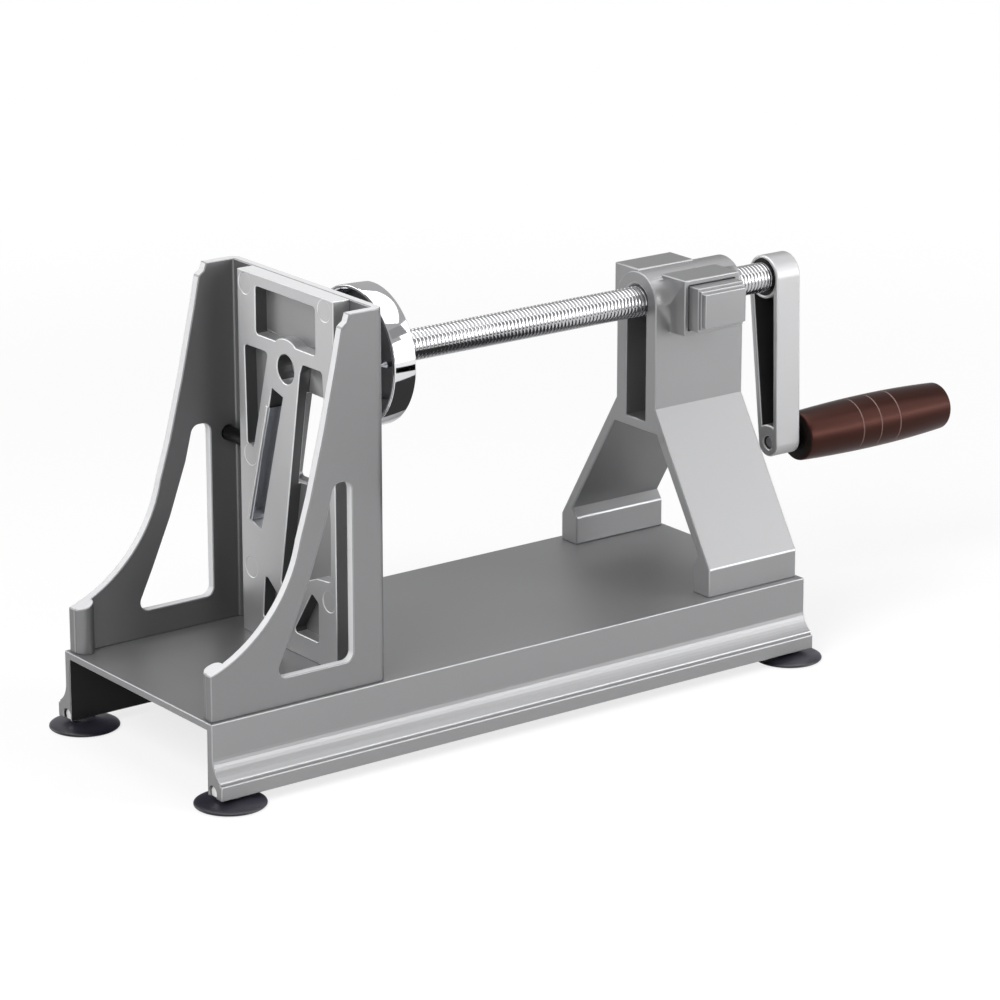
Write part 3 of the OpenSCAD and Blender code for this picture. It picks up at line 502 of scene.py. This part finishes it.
gripLow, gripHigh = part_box("handle_grip")
gripAxis = ("x", (gripLow[1] + gripHigh[1]) / 2, (gripLow[2] + gripHigh[2]) / 2)
profile, grooveFaces = gripProfile(gripLow[0], gripHigh[0])
turnedPiece("turnedGrip", "handle_grip", profile, gripAxis, [gripFinish, grooveFinish, gripEndFinish],
            gripSize["segments"], {0: 2, **{face: 1 for face in grooveFaces}})

# Pusher disc: rolled rim edges round a deep cup, whose floor and fillet are dull and get painted shade as
# a darker tone
discSize = {"rimWall": 1.8, "recess": 8.0, "edge": 0.7, "lip": 0.42, "bore": 5.05, "fillet": 1.2,
            "shadedSteps": 4, "segments": 128}

def discProfile(fromX, toX, radius):
    d = discSize
    long = (toX - fromX) / mm
    inner = radius - d["rimWall"]
    points = [(d["recess"], d["bore"]), (d["recess"], inner - d["fillet"])]
    for degrees in (30, 60, 90):
        come, left = roundStep(d["fillet"], degrees)
        points.append((d["recess"] - come, inner - left))
    points += [(d["lip"], inner), (0.0, inner + d["lip"]), (0.0, radius - d["edge"])]
    rolled = [roundStep(d["edge"], degrees) for degrees in (0, 22, 45, 67, 90)]
    points += [(come, radius - left) for come, left in rolled[1:]]
    points += [(long - come, radius - left) for come, left in reversed(rolled)]
    points += [(long, d["bore"]), (d["recess"], d["bore"])]
    return [(fromX + along * mm, r * mm) for along, r in points]

discRadius = (discHigh[2] - discLow[2]) / 2 / mm
turnedPiece("turnedDisc", "pusher_disc", discProfile(discLow[0], discHigh[0], discRadius),
            ("x", 0.0, axisHeight), [chromeFinish, discShadeFinish], discSize["segments"],
            {step: 1 for step in range(discSize["shadedSteps"])})

# Suction cups: a soft cone with a rolled rim and a neck round the bolt. Outer and inner sides are
# pairs of radius and height.
cupSize = {
    "height": 4.6, "hole": 1.45, "holeFrom": 2.3, "segments": 72,
    "outer": [(14.9, 0.0), (15.35, 0.06), (15.58, 0.3), (15.6, 0.6), (15.45, 0.92), (15.0, 1.2),
              (14.0, 1.52), (12.0, 1.9), (9.67, 2.25), (8.0, 2.62), (6.6, 3.04), (5.6, 3.34),
              (5.1, 3.64), (5.0, 3.95), (4.95, 4.47), (4.8, 4.6)],
    "inner": [(0.0, 1.7), (4.7, 1.5), (9.67, 1.2), (13.4, 0.6), (14.5, 0.12), (14.9, 0.0)],
}

def cupProfile():
    c = cupSize
    hole = [(c["hole"], c["height"]), (c["hole"], c["holeFrom"]), (0.0, c["holeFrom"])]
    return [(z * mm, r * mm) for r, z in c["inner"] + c["outer"][1:] + hole]

for node in ("cup_near_front", "cup_far_front", "cup_near_rear", "cup_far_rear"):
    cupLow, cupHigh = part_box(node)
    cupAxis = ("z", (cupLow[0] + cupHigh[0]) / 2, (cupLow[1] + cupHigh[1]) / 2)
    turnedPiece(node + "_soft", node, cupProfile(), cupAxis, [cupFinish], cupSize["segments"], {})
print("stage: turned pieces made")

# Small parts keep the frame's own meshes and get a finish
nodeFinish = {
    "slicing_blade": groundFinish, "blade_lock_screw": blackFinish, "half_nut": brassFinish,
    "crank_washer": blackFinish, "pusher_prongs": zincFinish, "handle_nut": blackFinish,
    "handle_washer": blackFinish, "handle_bolt": zincFinish, "button_pins": zincFinish,
    "bracket_screws": zincFinish, "frame_screws": zincFinish, "blade_screws": zincFinish,
    "stand_screws": zincFinish, "disc_screw": zincFinish, "crank_screw": zincFinish,
    "cup_bolts": nickelFinish,
}
for node, material in nodeFinish.items():
    mesh = nodes[node].data
    mesh.materials.clear()
    mesh.materials.append(material)

# Studio: a floor that is lit near the object and plain white further off. Bright metal sees it
# dimmer, and sees a dimmer room.
studio = {"floorSize": 8.0, "floorDrop": 0.0005, "floorKeep": 0.22, "clearFrom": 0.35, "clearTo": 0.9,
          "paleFloor": 0.9, "mirrorFloor": 0.62, "mirrorFrom": 0.25, "mirrorTo": 0.9,
          "mirrorKeep": 0.15, "mirrorSky": 0.42, "ambient": 0.20}
white = (1, 1, 1, 1)

def planeObject(name, width, tall, place, facing=None):
    x, y = width / 2, tall / 2
    mesh = bpy.data.meshes.new(name)
    mesh.from_pydata([(-x, -y, 0), (x, -y, 0), (x, y, 0), (-x, y, 0)], [], [(0, 1, 2, 3)])
    item = addObject(name, mesh)
    item.location = place
    if facing is not None:
        item.rotation_euler = (Vector(facing) - Vector(place)).to_track_quat("Z", "Y").to_euler()
    return item

def bareMaterial(name):
    material = bpy.data.materials.new(name)
    material.use_nodes = True
    material.node_tree.nodes.clear()
    return material, material.node_tree

def mixInto(tree, out, amount, first, second):
    mix = addNode(tree, "ShaderNodeMixShader")
    for socket, source in zip(mix.inputs, (amount, first, second)):
        link(tree, source, socket)
    link(tree, mix.outputs[0], out.inputs[0])

def seenDirectly(tree, rays):
    return calc(tree, "MAXIMUM", rays.outputs["Is Camera Ray"], rays.outputs["Is Transmission Ray"])

def floorMaterial():
    material, tree = bareMaterial("paleFloor")
    out = addNode(tree, "ShaderNodeOutputMaterial")
    matt = addNode(tree, "ShaderNodeBsdfDiffuse")
    glow = addNode(tree, "ShaderNodeEmission")
    setValues(glow, {"Color": white})
    rays = addNode(tree, "ShaderNodeLightPath")
    place = addNode(tree, "ShaderNodeTexCoord")
    reach = addNode(tree, "ShaderNodeVectorMath", operation="LENGTH")
    link(tree, place.outputs["Object"], reach.inputs[0])

    def ramp(fromReach, toReach, fromValue):
        node = addNode(tree, "ShaderNodeMapRange", interpolation_type="SMOOTHSTEP")
        setValues(node, {"From Min": fromReach, "From Max": toReach, "To Min": fromValue, "To Max": 1.0})
        link(tree, reach.outputs["Value"], node.inputs["Value"])
        return node.outputs[0]

    glossy = rays.outputs["Is Glossy Ray"]
    dimmer = calc(tree, "MULTIPLY", glossy, studio["paleFloor"] - studio["mirrorFloor"])
    link(tree, calc(tree, "SUBTRACT", studio["paleFloor"], dimmer), matt.inputs["Color"])
    shown = calc(tree, "MULTIPLY", seenDirectly(tree, rays),
                 ramp(studio["clearFrom"], studio["clearTo"], 1 - studio["floorKeep"]))
    mirrored = calc(tree, "MULTIPLY", glossy,
                    ramp(studio["mirrorFrom"], studio["mirrorTo"], studio["mirrorKeep"]))
    mixInto(tree, out, calc(tree, "ADD", shown, mirrored), matt.outputs[0], glow.outputs[0])
    return material

floor = planeObject("floor", studio["floorSize"], studio["floorSize"], (0, 0, -studio["floorDrop"]))
floor.data.materials.append(floorMaterial())

# World: white to the eye, and a weaker light on the object
world = bpy.data.worlds.new("paleStudio")
world.use_nodes = True
bpy.context.scene.world = world
worldTree = world.node_tree
worldTree.nodes.clear()
worldOut = addNode(worldTree, "ShaderNodeOutputWorld")
ambient = addNode(worldTree, "ShaderNodeBackground")
setValues(ambient, {"Color": white, "Strength": studio["ambient"]})
backdrop = addNode(worldTree, "ShaderNodeBackground")
setValues(backdrop, {"Color": white})
worldRays = addNode(worldTree, "ShaderNodeLightPath")
worldGlossy = worldRays.outputs["Is Glossy Ray"]
worldDirect = seenDirectly(worldTree, worldRays)
mirrorSky = calc(worldTree, "MULTIPLY", worldGlossy, studio["mirrorSky"])
link(worldTree, calc(worldTree, "ADD", worldDirect, mirrorSky), backdrop.inputs["Strength"])
mixInto(worldTree, worldOut, calc(worldTree, "MAXIMUM", worldDirect, worldGlossy),
        ambient.outputs[0], backdrop.outputs[0])

# Cards that only reflections see, from their front, as a studio puts beside bright metal
def cardMaterial(name, level):
    material, tree = bareMaterial(name)
    out = addNode(tree, "ShaderNodeOutputMaterial")
    glow = addNode(tree, "ShaderNodeEmission")
    setValues(glow, {"Color": (level, level, level, 1)})
    clear = addNode(tree, "ShaderNodeBsdfTransparent")
    side = addNode(tree, "ShaderNodeNewGeometry")
    mixInto(tree, out, side.outputs["Backfacing"], glow.outputs[0], clear.outputs[0])
    return material

cards = {
    "cardBehind": {"place": (1.44, 1.92, 1.18), "width": 4.6, "tall": 1.9, "level": 0.45},
    "cardCeiling": {"place": (0.32, 0.20, 2.1), "facing": (0.32, 0.20, 0),
                    "width": 2.45, "tall": 2.9, "level": 2.4},
    "cardGap": {"place": (0.40, -0.64, 0.74), "width": 0.36, "tall": 0.22, "level": 0.30},
    "cardSlope": {"place": (0.90, -0.72, 0.70), "width": 0.74, "tall": 0.8, "level": 2.25},
    "cardRight": {"place": (1.39, -1.81, 0.49), "width": 1.9, "tall": 1.35, "level": 3.0},
    "cardStrip": {"place": (1.30, -1.69, 0.50), "width": 1.9, "tall": 0.14, "level": 12.0},
    "cardLeft": {"place": (-1.10, 1.52, 0.82), "width": 1.1, "tall": 0.8, "level": 2.6},
    "cardLine": {"place": (0.18, -0.435, 0.036), "facing": (-0.11, -0.03, 0.036),
                 "width": 0.24, "tall": 0.072, "level": 0.0},
    "cardUnder": {"place": (-0.024, -0.066, 0.10), "facing": (-0.024, -0.066, 0.2),
                  "width": 0.132, "tall": 0.11, "level": 0.04},
}
aimPoint = Vector((0, 0, 0.12))
for name, card in cards.items():
    item = planeObject(name, card["width"], card["tall"], card["place"], card.get("facing", aimPoint))
    item.data.materials.append(cardMaterial(name, card["level"]))
    item.visible_camera = False
    item.visible_diffuse = False
    item.visible_shadow = False
    item.visible_transmission = False

# Lamps, which reflections do not show
lamps = {
    "leftPanel": {"direction": (-0.75, -0.30, 0.60), "distance": 1.7, "size": 0.9, "power": 26},
    "frontPanel": {"direction": (0.57, -0.61, 0.55), "distance": 1.7, "size": 0.7, "power": 15},
    "topPanel": {"direction": (0.0, 0.1, 1.0), "distance": 1.7, "size": 1.0, "power": 8.5},
}
for name, lamp in lamps.items():
    data = bpy.data.lights.new(name, "AREA")
    data.size = lamp["size"]
    data.energy = lamp["power"]
    item = addObject(name, data)
    item.visible_glossy = False
    item.location = aimPoint + Vector(lamp["direction"]).normalized() * lamp["distance"]
    item.rotation_euler = (aimPoint - item.location).to_track_quat("-Z", "Y").to_euler()
bpy.context.scene.view_settings.view_transform = "Standard"
print("stage: studio set")
